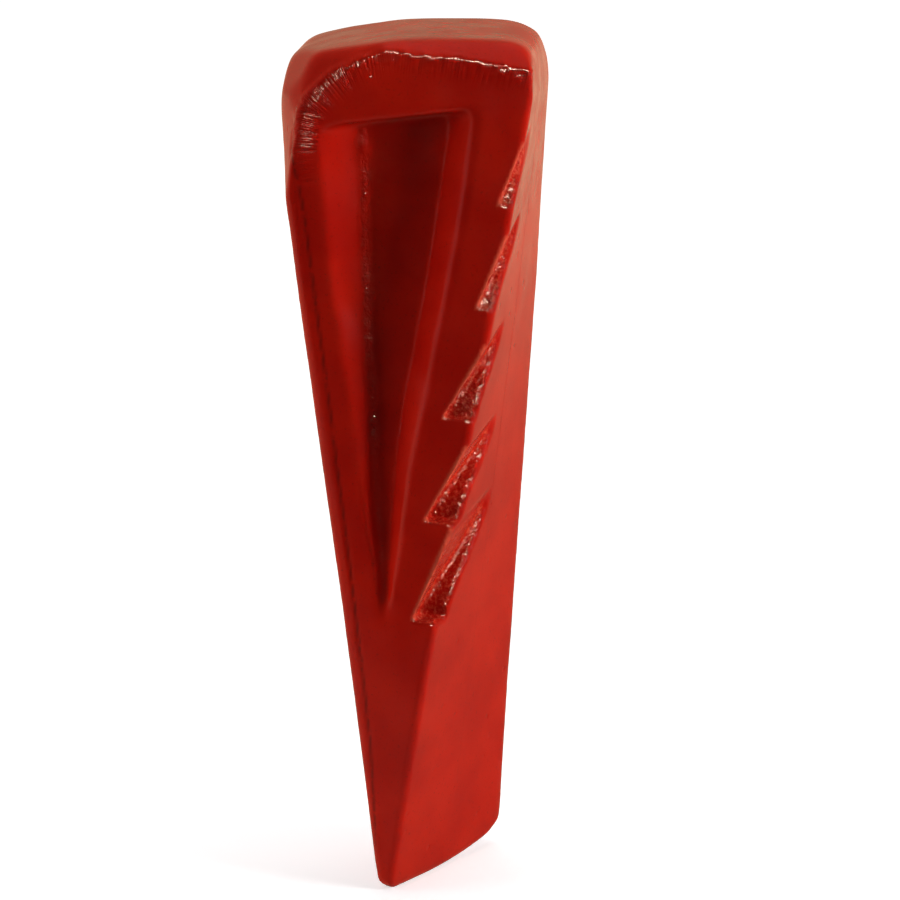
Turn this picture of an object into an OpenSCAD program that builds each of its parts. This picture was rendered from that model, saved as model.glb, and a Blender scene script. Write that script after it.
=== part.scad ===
// Twisted splitting wedge, drop forged in one piece of steel.
// The wedge stands on its cutting edge: Z runs up the wedge to the struck head, the head's
// thickness lies along X and its width along Y, and the origin is under the middle of the edge.

/* [Overall] */
// Height from the cutting edge to the struck face
overall_h = 220; // [180:1:270]
// Width of the wedge, along the cutting edge
body_w = 48.4; // [40:0.2:60]
// Thickness that the tapered sides would reach at the struck face
head_t = 68.6; // [56:0.2:84]
// Thickness of the tapered sides at the cutting edge
edge_t = 6; // [5:0.1:8]
// Turn of the cutting edge against the head, in degrees
twist = 34; // [20:1:45]

/* [Long edges] */
// Radius of the two edges that carry the forging's flash line
flash_edge_r = 4; // [2.5:0.1:5]
// Radius of the two edges that carry the barbs
barb_edge_r = 1.6; // [1:0.1:3]

/* [Cutting edge] */
// Radius across the cutting edge
nose_r = 2.2; // [1:0.1:2.4]
// Radius at the cutting edge's front end
edge_end_r_front = 4; // [2:0.5:8]
// Radius at the cutting edge's back end
edge_end_r_back = 12; // [4:0.5:14]

/* [Crown] */
// Height of the rounded crown, as a share of the overall height
crown_share = 0.136; // [0.09:0.001:0.15]
// How far the crown comes in on the side that is dressed most
crown_inset_left = 9; // [6:0.5:17]
// How far the crown comes in on the other side
crown_inset_right = 5; // [3:0.5:10]
// How far the struck face falls towards the side that is dressed most
crown_fall_left = 4.8; // [2:0.1:7]
// How far the struck face falls towards the other side
crown_fall_right = 2.2; // [1:0.1:5]
// Chamfer along the front and back of the struck face
crown_chamfer = 1.5; // [1:0.1:3]

/* [Pockets] */
// Height of the pocket's lower end, as a share of the overall height
pocket_bottom_share = 0.323; // [0.25:0.001:0.36]
// Height of the pocket's upper end, as a share of the overall height
pocket_top_share = 0.914; // [0.7:0.001:0.93]
// Depth of the pocket at its upper end
pocket_d = 8; // [5:0.5:10]
// Land between the flash edge and the pocket
pocket_land = 10.5; // [8:0.5:13]
// Sideways run of the pocket's sloping wall at its upper end
pocket_slope_w = 9.5; // [6:0.5:12]
// Sideways run of the pocket's other wall
pocket_wall_w = 7; // [4:0.5:9]

/* [Barbs] */
// Number of barbs on each barbed edge
barb_n = 5; // [3:1:5]
// Height of the lowest barb's step, as a share of the overall height
barb_first_share = 0.334; // [0.27:0.001:0.36]
// Spacing of the barbs up the edge, as a share of the overall height
barb_pitch_share = 0.121; // [0.09:0.001:0.123]
// Length of the lowest barb's cut
barb_l = 29; // [20:1:34]
// Width of the lowest barb's step on the pocketed face
barb_w = 7.5; // [5:0.5:10]
// How far the lowest barb's tip reaches over the plain side
barb_reach = 21; // [14:1:24]

/* [Hidden] */

paint_red = [0.62, 0.09, 0.04];

// Mesh fineness: steps on a quarter corner, and height between sections
arc_n = 6;
section_dz = 6;

crown_h = crown_share * overall_h;
shaft_top_z = overall_h - crown_h;
// Radius that the crown adds to a corner at the struck face: most at the dressed corner, which
// also starts to round lower down. A higher power starts later.
crown_r_dressed = 20;
crown_r_plain = 16;
crown_early = 1.9;
crown_late = 8;
// Half width of the flat along the middle of the struck face, how fast the face falls beside it,
// how late the crown takes that fall up, and the rings that the face is made of, as shares of it
struck_flat = 8;
struck_fall_power = 1.2;
crown_fall_late = 3;
struck_rings = [0.85, 0.7, 0.55, 0.4, 0.25];
// Largest corner radius, as a share of the half thickness
corner_share = 0.9;

// The way from one value to another, and the same held at both ends
function blend(a, b, t) = a + (b - a) * t;
function between(a, b, t) = blend(a, b, min(1, max(0, t)));

// Inset of a round of radius r at distance s from the end that it rounds
function round_inset(r, s) = s >= r ? 0 : r - sqrt(r * r - (r - s) * (r - s));

// Half thickness, half width and turn of the plain tapered bar at height z
function half_t(z) = blend(edge_t, head_t, z / overall_h) / 2;
half_w = body_w / 2;
function turn(z) = twist * (z / overall_h - 1);

// 0 at the crown's foot and 1 at the struck face, and the crown's quarter-ellipse inset
function crown_at(z) = max(0, (z - shaft_top_z) / crown_h);
function crown_inset(w, z) = w * (1 - sqrt(max(0, 1 - pow(crown_at(z), 2))));

// Drop of the struck face at distance u from its middle
function struck_fall(u) =
  (u < 0 ? crown_fall_left : crown_fall_right)
  * pow(max(0, abs(u) - struck_flat) / (half_t(overall_h) - struck_flat), struck_fall_power);

// A point (u, v) of the section at height z: u is across the thickness, v along the width
function place(u, v, z) = [
  u * cos(turn(z)) - v * sin(turn(z)),
  u * sin(turn(z)) + v * cos(turn(z)),
  z
];

// A quarter arc of radius r that ends at a corner (u, v) of the section, from angle a
function corner_arc(u, v, r, a, z) = [
  for (i = [0:arc_n])
    let (su = sign(u), sv = sign(v), t = a + 90 * i / arc_n)
      place(u - su * r + r * cos(t), v - sv * r + r * sin(t), z)
];

// One closed section, counter-clockwise seen from above
function section(z) =
  let (
    nose = round_inset(nose_r, z),
    right = half_t(z) - nose - crown_inset(crown_inset_right, z),
    left = half_t(z) - nose - crown_inset(crown_inset_left, z),
    chamfer = max(0, z - overall_h + crown_chamfer),
    front = half_w - round_inset(edge_end_r_front, z) - chamfer,
    back = half_w - round_inset(edge_end_r_back, z) - chamfer,
    widest = corner_share * (half_t(z) - nose),
    added = crown_r_plain * pow(crown_at(z), crown_late),
    dressed = crown_r_dressed * pow(crown_at(z), crown_early),
    fall = pow(crown_at(z), crown_fall_late),
    outline = concat(
      corner_arc(right, -front, min(widest, barb_edge_r + added), -90, z),
      corner_arc(right, back, min(widest, flash_edge_r + added), 0, z),
      corner_arc(-left, back, min(widest, barb_edge_r + added), 90, z),
      corner_arc(-left, -front, min(widest, flash_edge_r + dressed), 180, z)
    )
  )
  [for (p = outline) p - [0, 0, fall * struck_fall(p[0])]];

// The struck face's ring at a share of its size
function struck_ring(share) = [
  for (p = section(overall_h))
    [share * p[0], share * p[1], overall_h - struck_fall(share * p[0])]
];

// A solid through a stack of rings that all have the same number of points
module loft(rings) {
  n = len(rings[0]);
  last = len(rings) - 1;
  walls = [
    for (k = [0:last - 1], i = [0:n - 1])
      let (a = k * n + i, b = k * n + (i + 1) % n)
        each [[a, a + n, b + n], [a, b + n, b]]
  ];
  floor_face = [for (i = [0:n - 1]) i];
  top_face = [for (i = [0:n - 1]) last * n + n - 1 - i];
  polyhedron(points = [for (ring = rings) each ring], faces = concat(walls, [floor_face, top_face]));
}

// Heights of the sections: close together at the nose and the crown, even in between
nose_steps = 7;
crown_steps = 9;
nose_top_z = max(edge_end_r_front, edge_end_r_back);
shaft_steps = ceil((shaft_top_z - nose_top_z) / section_dz);
section_heights = concat(
  [for (i = [0:nose_steps]) nose_top_z * (1 - cos(90 * i / nose_steps))],
  [for (i = [1:shaft_steps]) blend(nose_top_z, shaft_top_z, i / shaft_steps)],
  [for (i = [1:crown_steps]) shaft_top_z + crown_h * sin(90 * i / crown_steps)]
);

module twisted_bar() {
  loft(concat(
    [for (z = section_heights) section(z)],
    [for (share = struck_rings) struck_ring(share)]
  ));
}

// The pocket narrows downwards to a point, and gets shallower
pocket_bottom_z = pocket_bottom_share * overall_h;
pocket_top_z = pocket_top_share * overall_h;
pocket_steps = 24;
// How far its cutter stands out of the face
pocket_open = 1.5;
// Where its point lies across the face, half the point's width, and its walls' run there
pocket_apex_u = 0.5;
pocket_apex_w = 0.2;
pocket_apex_run = 0.05;
// Its depth goes with the root of the way up, but starts at this share and not at nothing
pocket_apex_share = 0.004;
// Its barb side at the upper end, as a share of the half thickness
pocket_right_share = 0.59;
// Rise of its upper end towards the barbed edge
pocket_top_tilt = 0.1;
// How soon up the pocket its left edge, slope and other wall are full size: 4 is a quarter up
pocket_left_early = 4;
pocket_slope_early = 1.05;
pocket_wall_early = 3;

// 0 at the pocket's point and 1 at its upper end, then its depth, edges and floor at height z
function pocket_at(z) = (z - pocket_bottom_z) / (pocket_top_z - pocket_bottom_z);
function pocket_depth(z) = pocket_d * sqrt(max(pocket_apex_share, pocket_at(z)));
function pocket_left(z) =
  between(pocket_apex_u - pocket_apex_w, pocket_land - half_t(z), pocket_left_early * pocket_at(z));
function pocket_right(z) =
  blend(pocket_apex_u + pocket_apex_w, pocket_right_share * half_t(pocket_top_z), pocket_at(z));
function pocket_floor_left(z) =
  pocket_left(z) + between(pocket_apex_run, pocket_slope_w, pocket_slope_early * pocket_at(z));
function pocket_floor_right(z) =
  max(
    pocket_floor_left(z) + pocket_apex_w,
    pocket_right(z) - between(pocket_apex_run, pocket_wall_w, pocket_wall_early * pocket_at(z))
  );

// The pocket's section at height z, with its upper end tilted. The walls run on past the face.
function pocket_ring(z) =
  let (
    d = pocket_depth(z),
    run_on = -pocket_open / d,
    out_left = blend(pocket_left(z), pocket_floor_left(z), run_on),
    out_right = blend(pocket_right(z), pocket_floor_right(z), run_on),
    lean = pocket_top_tilt * pow(pocket_at(z), 2),
    outline = [
      [out_left, -pocket_open], [out_right, -pocket_open],
      [pocket_floor_right(z), d], [pocket_floor_left(z), d]
    ]
  )
  [for (p = outline) place(p[0], p[1] - half_w, z + lean * p[0])];

module pocket_cut() {
  loft([
    for (i = [0:pocket_steps])
      pocket_ring(blend(pocket_bottom_z, pocket_top_z, i / pocket_steps))
  ]);
}

// One barb: a notch in the edge, whose floor faces the way the pocketed face does. The floor
// starts just below that face, sinks as it climbs, and runs out at a tip on the plain side.
barb_first_z = barb_first_share * overall_h;
barb_pitch = barb_pitch_share * overall_h;
// How much each barb is smaller than the one below it
barb_reach_step = 3;
barb_l_step = 2.4;
barb_w_step = 1;
barb_foot_step = 1.1;
// Share of its length at which its wall leaves the pocketed face
barb_turn = 0.8;
// Depth of the lowest barb's floor at its foot, and how far its wall leans in under the face
barb_foot_d = 5;
barb_lean = 1.6;
// How far its cutter stands out of the surface
barb_open = 2;
// Its sections, and where the last one lies
barb_steps = 10;
barb_end = 0.97;

// The barb's section at share t of its length: a corner over its wall's rim, two corners clear
// of the plain side, and the root where its wall meets its floor
function barb_ring(i, t) =
  let (
    z = barb_first_z + barb_pitch * i + t * (barb_l - barb_l_step * i),
    reach = barb_reach - barb_reach_step * i,
    width = barb_w - barb_w_step * i,
    foot_d = barb_foot_d - barb_foot_step * i,
    floor_d = blend(foot_d, reach, t * t * (3 - 2 * t)),
    rim = t < barb_turn
      ? [half_t(z) - width * (1 - t / barb_turn), -half_w]
      : [half_t(z), reach * (t - barb_turn) / (1 - barb_turn) - half_w],
    lean = barb_lean * min(1, (1 - t) / (1 - barb_turn)),
    root = [rim[0] - lean, floor_d - half_w],
    over_rim = rim + (rim - root) * barb_open / norm(rim - root),
    clear = half_t(z) + barb_open,
    outline = [over_rim, [clear, over_rim[1]], [clear, root[1]], root]
  )
  [for (p = outline) place(p[0], p[1], z)];

module barb_cut(i) {
  loft([for (k = [0:barb_steps]) barb_ring(i, barb_end * k / barb_steps)]);
}

module wedge_body() {
  color(paint_red)
    difference() {
      twisted_bar();
      // Both pocketed faces and both barbed edges are alike, half a turn apart
      for (half = [0, 180])
        rotate([0, 0, half]) {
          pocket_cut();
          for (i = [0:barb_n - 1])
            barb_cut(i);
        }
    }
}

wedge_body();
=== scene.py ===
"""Looks of a twisted splitting wedge, drop forged in one piece of steel and painted red.

The wedge is modelled straight, the way its dies are sunk: a tapered bar is rounded along its
edges and dressed at the crown, and its pockets and barbs are cut. Its skin is then worked
over as a forging's is, and the whole piece is twisted last.

In the straight wedge, u runs across the thickness, v along the width and z up to the head.
Sizes are in metres, and in millimetres where a class says so.
"""

import logging
import math
from contextlib import contextmanager
from dataclasses import dataclass
from enum import Enum
from typing import Callable, Iterator, Sequence

import bmesh
import bpy
import numpy as np
from mathutils import Matrix, Vector, noise


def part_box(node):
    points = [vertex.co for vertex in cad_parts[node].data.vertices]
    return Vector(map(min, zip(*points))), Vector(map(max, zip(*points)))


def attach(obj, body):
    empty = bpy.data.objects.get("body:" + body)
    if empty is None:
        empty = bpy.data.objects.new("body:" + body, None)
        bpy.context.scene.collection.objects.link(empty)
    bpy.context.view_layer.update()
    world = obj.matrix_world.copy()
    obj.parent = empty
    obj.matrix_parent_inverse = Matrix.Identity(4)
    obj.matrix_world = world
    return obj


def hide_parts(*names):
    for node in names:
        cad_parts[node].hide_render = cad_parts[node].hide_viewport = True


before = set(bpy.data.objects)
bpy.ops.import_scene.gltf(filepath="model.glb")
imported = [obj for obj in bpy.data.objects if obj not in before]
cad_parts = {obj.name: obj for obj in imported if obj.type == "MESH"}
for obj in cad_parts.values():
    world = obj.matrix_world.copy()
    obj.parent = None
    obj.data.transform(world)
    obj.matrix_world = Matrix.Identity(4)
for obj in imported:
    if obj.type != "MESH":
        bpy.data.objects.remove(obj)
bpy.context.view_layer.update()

log = logging.getLogger("wedge")

Row = tuple[float, float, float]
Colour = tuple[float, float, float, float]

MM = 0.001
# Corners closer to the floor than this stand on it
TOUCH = 0.1 * MM
# How much of a face's normal has to point up for the face to count as the top
FACES_UP = 0.9
# How many steps a share is cut into where the skin is rubbed
RUB_STEPS = 10
# How far lumps move along each axis for a shift of 1
SHIFT_WAY = (1, 0.37, 0.61)


class Pick(Enum):
    """What is selected in edit mode."""

    CORNERS = (True, False, False)
    EDGES = (False, True, False)
    FACES = (False, False, True)


# ------------------------------------------------------------------ the modeller's hands


def take(*pieces: bpy.types.Object) -> None:
    """Select these pieces and nothing else, and make the first one active.

    Args:
        pieces: The pieces to work on.
    """
    bpy.ops.object.select_all(action="DESELECT")
    for piece in pieces:
        piece.select_set(True)
    bpy.context.view_layer.objects.active = pieces[0]


@contextmanager
def editing(piece: bpy.types.Object, pick: Pick) -> Iterator[None]:
    """Hold a piece in edit mode, with nothing selected at first.

    Args:
        piece: The piece to edit.
        pick: What will be selected.

    Yields:
        Nothing, while the piece is in edit mode.
    """
    take(piece)
    bpy.ops.object.mode_set(mode="EDIT")
    bpy.context.tool_settings.mesh_select_mode = pick.value
    bpy.ops.mesh.select_all(action="DESELECT")
    try:
        yield
    finally:
        bpy.ops.object.mode_set(mode="OBJECT")


def pick_where(piece: bpy.types.Object, pick: Pick, test: Callable[..., bool]) -> int:
    """Select, besides what is selected, the corners, edges or faces that pass a test.

    Args:
        piece: The piece in edit mode.
        pick: What to look through.
        test: Takes a corner's place, an edge's two ends, or a face's middle and normal.

    Returns:
        How many passed.
    """
    mesh = bmesh.from_edit_mesh(piece.data)
    if pick is Pick.CORNERS:
        found = [v for v in mesh.verts if test(v.co)]
    elif pick is Pick.EDGES:
        found = [e for e in mesh.edges if test(e.verts[0].co, e.verts[1].co)]
    else:
        found = [f for f in mesh.faces if test(f.calc_center_median(), f.normal)]
    for part in found:
        part.select_set(True)
    bmesh.update_edit_mesh(piece.data)
    return len(found)


def apply_modifier(piece: bpy.types.Object, kind: str, **settings: object) -> None:
    """Add a modifier to a piece, set it and apply it.

    Args:
        piece: The piece to change.
        kind: The modifier's type.
        settings: The modifier's own settings.
    """
    take(piece)
    modifier = piece.modifiers.new(kind.title(), kind)
    for name, value in settings.items():
        setattr(modifier, name, value)
    bpy.ops.object.modifier_apply(modifier=modifier.name)


def carry(piece: bpy.types.Object, before: Sequence[Vector], after: Sequence[Vector]) -> None:
    """Carry the corners that stand at the places before to the places after, one by one.

    Args:
        piece: The piece in edit mode, whose selected corners are the ones to carry.
        before: Where the corners stand.
        after: Where they go, in the same order.
    """
    mesh = bmesh.from_edit_mesh(piece.data)
    held = [v for v in mesh.verts if v.select]
    steps = {}
    for place, goal in zip(before, after):
        corner = min(held, key=lambda v: (v.co - place).length)
        held.remove(corner)
        steps[corner.index] = goal - corner.co
    for index, step in steps.items():
        bpy.ops.mesh.select_all(action="DESELECT")
        mesh = bmesh.from_edit_mesh(piece.data)
        mesh.verts.ensure_lookup_table()
        mesh.verts[index].select_set(True)
        bmesh.update_edit_mesh(piece.data)
        bpy.ops.transform.translate(value=step)
    mesh = bmesh.from_edit_mesh(piece.data)
    mesh.verts.ensure_lookup_table()
    for index in steps:
        mesh.verts[index].select_set(True)
    mesh.select_flush(True)
    bmesh.update_edit_mesh(piece.data)


def draw_out(name: str, rings: Sequence[Sequence[Vector]]) -> bpy.types.Object:
    """Draw a face out through its rings, one extrusion for each.

    Args:
        name: The new piece's name.
        rings: The face's corners at each stage, all in the same order round it.

    Returns:
        A closed solid.
    """
    bpy.ops.object.select_all(action="DESELECT")
    bpy.ops.mesh.primitive_circle_add(vertices=len(rings[0]), radius=MM, fill_type="NGON")
    piece = bpy.context.object
    piece.name = name
    start = [corner.co.copy() for corner in piece.data.vertices]
    with editing(piece, Pick.CORNERS):
        bpy.ops.mesh.select_all(action="SELECT")
        carry(piece, start, rings[0])
        for before, after in zip(rings, rings[1:]):
            bpy.ops.mesh.extrude_region_move()
            carry(piece, before, after)
        bpy.ops.mesh.select_all(action="SELECT")
        bpy.ops.mesh.normals_make_consistent(inside=False)
    return piece


def cut(body: bpy.types.Object, tool: bpy.types.Object) -> None:
    """Cut a tool out of a body, and put the tool away.

    Args:
        body: What is cut.
        tool: The closed solid that cuts it.
    """
    apply_modifier(body, "BOOLEAN", operation="DIFFERENCE", solver="EXACT", object=tool)
    bpy.data.objects.remove(tool)


def ramp(value: np.ndarray, low: float, high: float) -> np.ndarray:
    """A soft step from 0 at low to 1 at high.

    Args:
        value: The values to judge.
        low: Where the step starts.
        high: Where it ends, which may be less than low.

    Returns:
        One share for each value.
    """
    share = np.clip((value - low) / (high - low), 0.0, 1.0)
    return share * share * (3.0 - 2.0 * share)


def ridge(distance: np.ndarray, width: float) -> np.ndarray:
    """A soft bump of height 1 over distance 0, about twice the width across.

    Args:
        distance: Distances from the bump's middle.
        width: The bump's half width.

    Returns:
        Its height at each distance.
    """
    return np.exp(-((distance / width) ** 2))


@dataclass(frozen=True)
class Fade:
    """Where a share of something sets in, and where it is whole."""

    start: float
    whole: float

    def over(self, value: np.ndarray) -> np.ndarray:
        """The share at each value."""
        return ramp(value, self.start, self.whole)


@dataclass(frozen=True)
class Lumps:
    """An unevenness of the skin: how wide and how high its lumps are, in millimetres.

    The shift moves the pattern, so that no two are alike. The squeeze makes it finer along
    an axis, and each layer adds lumps half as wide.
    """

    size: float
    height: float = 1.0
    shift: float = 0.0
    squeeze: Row = (1, 1, 1)
    layers: int = 2

    def over(self, places: np.ndarray) -> np.ndarray:
        """How far the lumps stand out at each place, the same each time.

        Args:
            places: One place in each row.

        Returns:
            A height from about minus to plus the lumps' own for each place.
        """
        move = Vector([self.shift * way for way in SHIFT_WAY])
        rows = (places * self.squeeze).tolist()
        return self.height * np.array(
            [noise.fractal(Vector(row) / self.size + move, 1.0, 2.0, self.layers) for row in rows]
        )


def path_distance(u: np.ndarray, z: np.ndarray, path: np.ndarray) -> tuple[np.ndarray, np.ndarray]:
    """How far points lie from a path, and where along it they are nearest.

    Args:
        u: The points' first coordinate.
        z: The points' second coordinate.
        path: The path's corners, one in each row.

    Returns:
        The distance, positive on the path's left side, and the way along it.
    """
    best = np.full(len(u), np.inf)
    along = np.zeros(len(u))
    run = 0.0
    for start, end in zip(path, path[1:]):
        step = end - start
        length = float(np.hypot(*step))
        du, dz = u - start[0], z - start[1]
        t = np.clip((du * step[0] + dz * step[1]) / length**2, 0.0, 1.0)
        away = np.hypot(du - t * step[0], dz - t * step[1])
        side = np.sign(step[0] * dz - step[1] * du)
        near = away < np.abs(best)
        best = np.where(near, away * np.where(side == 0, 1.0, side), best)
        along = np.where(near, run + t * length, along)
        run += length
    return best, along


# ------------------------------------------------------------------ the straight wedge


@dataclass(frozen=True)
class GroundFacet:
    """A flat that a grinder left: a place on it and the way it faces, in millimetres."""

    place: Row
    facing: Row

    def grind(self, piece: bpy.types.Object) -> None:
        """Take away what lies outside the facet.

        Args:
            piece: The piece to grind.
        """
        with editing(piece, Pick.FACES):
            bpy.ops.mesh.select_all(action="SELECT")
            bpy.ops.mesh.bisect(
                plane_co=Vector(self.place) * MM,
                plane_no=Vector(self.facing).normalized(),
                use_fill=True,
                clear_outer=True,
            )


@dataclass
class TaperedBar:
    """The bar that the wedge is drawn from, standing on its cutting edge."""

    height: float
    width: float = 48.4 * MM
    head_thickness: float = 68.6 * MM
    edge_thickness: float = 6 * MM
    flash_edge_radius: float = 4 * MM
    barb_edge_radius: float = 1.6 * MM
    nose_radius: float = 2 * MM
    end_radius_front: float = 4 * MM
    end_radius_back: float = 11 * MM
    nose_corner: tuple[GroundFacet, ...] = (
        GroundFacet((-2.6, -22, 5.5), (-0.93, -0.10, -0.35)),
        GroundFacet((-1.2, -22, 1.6), (-0.70, -0.10, -0.71)),
    )
    round_steps: int = 6
    end_steps: int = 8

    @property
    def half_width(self) -> float:
        """Half the bar's width."""
        return self.width / 2

    def half_thickness(self, z: float | np.ndarray) -> float | np.ndarray:
        """Half the bar's thickness at height z."""
        share = z / self.height
        return (self.edge_thickness + (self.head_thickness - self.edge_thickness) * share) / 2

    def build(self) -> bpy.types.Object:
        """Draw the bar: a tapered block with round edges.

        Returns:
            The bar, its crown still square.
        """
        bpy.ops.object.select_all(action="DESELECT")
        bpy.ops.mesh.primitive_cube_add(
            size=1,
            location=(0, 0, self.height / 2),
            scale=(self.edge_thickness, self.width, self.height),
        )
        bar = bpy.context.object
        bar.name = "wedge"
        bpy.ops.object.transform_apply(location=True, rotation=True, scale=True)
        with editing(bar, Pick.FACES):
            pick_where(bar, Pick.FACES, lambda middle, normal: normal.z > FACES_UP)
            bpy.ops.transform.resize(
                value=(self.head_thickness / self.edge_thickness, 1, 1),
                center_override=(0, 0, self.height),
            )
        self.round_edges(bar)
        return bar

    def round_edges(self, bar: bpy.types.Object) -> None:
        """Round the four long edges, the flash edges more than the rest, and then the nose.

        Args:
            bar: The tapered block.
        """
        mesh = bar.data
        weights = mesh.attributes.new("bevel_weight_edge", "FLOAT", "EDGE")
        for edge in mesh.edges:
            a, b = (mesh.vertices[k].co for k in edge.vertices)
            if abs(a.z - b.z) > self.height / 2:
                flash = a.x * a.y > 0
                radius = self.flash_edge_radius if flash else self.barb_edge_radius
                weights.data[edge.index].value = radius / self.flash_edge_radius
        apply_modifier(
            bar,
            "BEVEL",
            limit_method="WEIGHT",
            width=self.flash_edge_radius,
            segments=self.round_steps,
            use_clamp_overlap=True,
        )
        with editing(bar, Pick.EDGES):
            pick_where(bar, Pick.EDGES, lambda a, b: max(a.z, b.z) < TOUCH)
            bpy.ops.mesh.bevel(
                offset=self.nose_radius, segments=self.round_steps, clamp_overlap=True
            )
        for side, radius in ((-1, self.end_radius_front), (1, self.end_radius_back)):
            for step in range(1, self.end_steps):
                slope = math.radians(90 * step / self.end_steps)
                facing = (0.0, side * math.cos(slope), -math.sin(slope))
                middle = Vector((0, side * (self.half_width - radius), radius))
                GroundFacet(tuple((middle + Vector(facing) * radius) / MM), facing).grind(bar)
        for facet in self.nose_corner:
            facet.grind(bar)


@dataclass
class Crown:
    """The struck head: a face that falls to both sides, and ground corners.

    The profiles are (u, z) corners of its outline, from a side up to the middle. The band is
    what the trimming of the flash left between the front face and the head.
    """

    left_profile: tuple[tuple[float, float], ...] = (
        (-31.6, 205), (-31.3, 210), (-30.2, 214), (-27, 216.2), (-18, 218.0), (-4, 220),
    )
    right_profile: tuple[tuple[float, float], ...] = (
        (32.1, 208), (31.8, 213.5), (30.4, 217), (26, 218.8), (16, 219.6), (6, 220),
    )
    band: tuple[GroundFacet, ...] = (
        GroundFacet((-24.6, -24.2, 204.8), (-0.80, -0.54, 0.27)),
        GroundFacet((-24.6, -24.2, 204.8), (-0.56, -0.72, 0.40)),
        GroundFacet((-20.9, -24.2, 209.4), (-0.44, -0.75, 0.50)),
        GroundFacet((-11, -24.2, 215.4), (-0.22, -0.73, 0.62)),
        GroundFacet((3.8, -24.2, 217), (0.10, -0.62, 0.78)),
        GroundFacet((17.8, -24.2, 215.4), (0.16, -0.64, 0.72)),
    )
    corners: tuple[GroundFacet, ...] = (
        GroundFacet((-27.4, -19, 208), (-0.80, -0.32, 0.505)),
        GroundFacet((-27.6, -19, 208), (-0.90, -0.42, 0.07)),
        GroundFacet((0, 24.2, 218), (0, 0.6, 0.8)),
        GroundFacet((29, 23, 213), (0.60, 0.52, 0.60)),
        GroundFacet((-29, 23, 214), (-0.50, 0.62, 0.60)),
    )

    def facets(self) -> Iterator[GroundFacet]:
        """Every facet of the crown.

        Yields:
            The facets, those of the outline first.
        """
        for profile in (self.left_profile, self.right_profile):
            for (u, z), (next_u, next_z) in zip(profile, profile[1:]):
                out = math.copysign(1.0, profile[0][0])
                yield GroundFacet((u, 0, z), (out * (next_z - z), 0, out * (u - next_u)))
        yield from self.band
        yield from self.corners

    def dress(self, bar: bpy.types.Object) -> None:
        """Grind the crown's shape at the top of the bar."""
        for facet in self.facets():
            facet.grind(bar)


@dataclass(frozen=True)
class PocketStage:
    """The pocket at one height: its edges, its floor's edges and its depth, in millimetres."""

    z: float
    left: float
    floor_left: float
    floor_right: float
    right: float
    depth: float


@dataclass
class Pocket:
    """The long hollow in a face, which narrows and runs out towards the cutting edge."""

    stages: tuple[PocketStage, ...] = (
        PocketStage(70, -0.5, -0.4, -0.2, 0.0, 0.4),
        PocketStage(78, -2.0, -1.7, -1.0, 1.5, 1.9),
        PocketStage(90, -4.1, -3.3, -0.9, 3.4, 3.0),
        PocketStage(100, -6.0, -4.5, -0.7, 4.4, 3.7),
        PocketStage(114, -8.5, -5.7, -0.1, 6.2, 4.5),
        PocketStage(130, -10.9, -7.0, 1.3, 8.9, 5.4),
        PocketStage(145, -13.6, -8.2, 3.9, 11.1, 6.0),
        PocketStage(165, -16.8, -9.3, 7.0, 14.4, 6.8),
        PocketStage(185, -19.2, -9.9, 9.4, 17.2, 7.5),
        PocketStage(201, -20.6, -10.5, 11.2, 18.8, 8.0),
    )
    clear: float = 1.5 * MM
    # The sections tilt from this height up, and the uppermost by this slope
    tilt_z: float = 170
    top_tilt: float = 0.1

    def ring(self, stage: PocketStage, bar: TaperedBar) -> list[Vector]:
        """The cutting tool's four corners at one height, its sides run on past the face.

        Args:
            stage: The pocket at that height.
            bar: The bar that it is cut in.

        Returns:
            Two corners outside the face, then two on the floor.
        """
        on = -self.clear / MM / stage.depth
        left = stage.left + on * (stage.floor_left - stage.left)
        right = stage.right + on * (stage.floor_right - stage.right)
        top_z = self.stages[-1].z
        top = max(0.0, (stage.z - self.tilt_z) / (top_z - self.tilt_z)) ** 2 * self.top_tilt
        face = -bar.half_width
        corners = (
            (left, face - self.clear),
            (right, face - self.clear),
            (stage.floor_right, face + stage.depth * MM),
            (stage.floor_left, face + stage.depth * MM),
        )
        return [Vector((u * MM, v, (stage.z + top * u) * MM)) for u, v in corners]

    def tool(self, bar: TaperedBar) -> bpy.types.Object:
        """Model the solid that cuts the pocket."""
        return draw_out("pocket_tool", [self.ring(stage, bar) for stage in self.stages])


@dataclass(frozen=True)
class Notch:
    """One barb's notch in a long edge, in millimetres.

    Its floor faces the way the pocketed face does. It starts below that face at the foot,
    sinks as it climbs, and runs out at a tip on the plain side.
    """

    foot_z: float
    length: float
    width: float
    foot_depth: float
    reach: float


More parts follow.
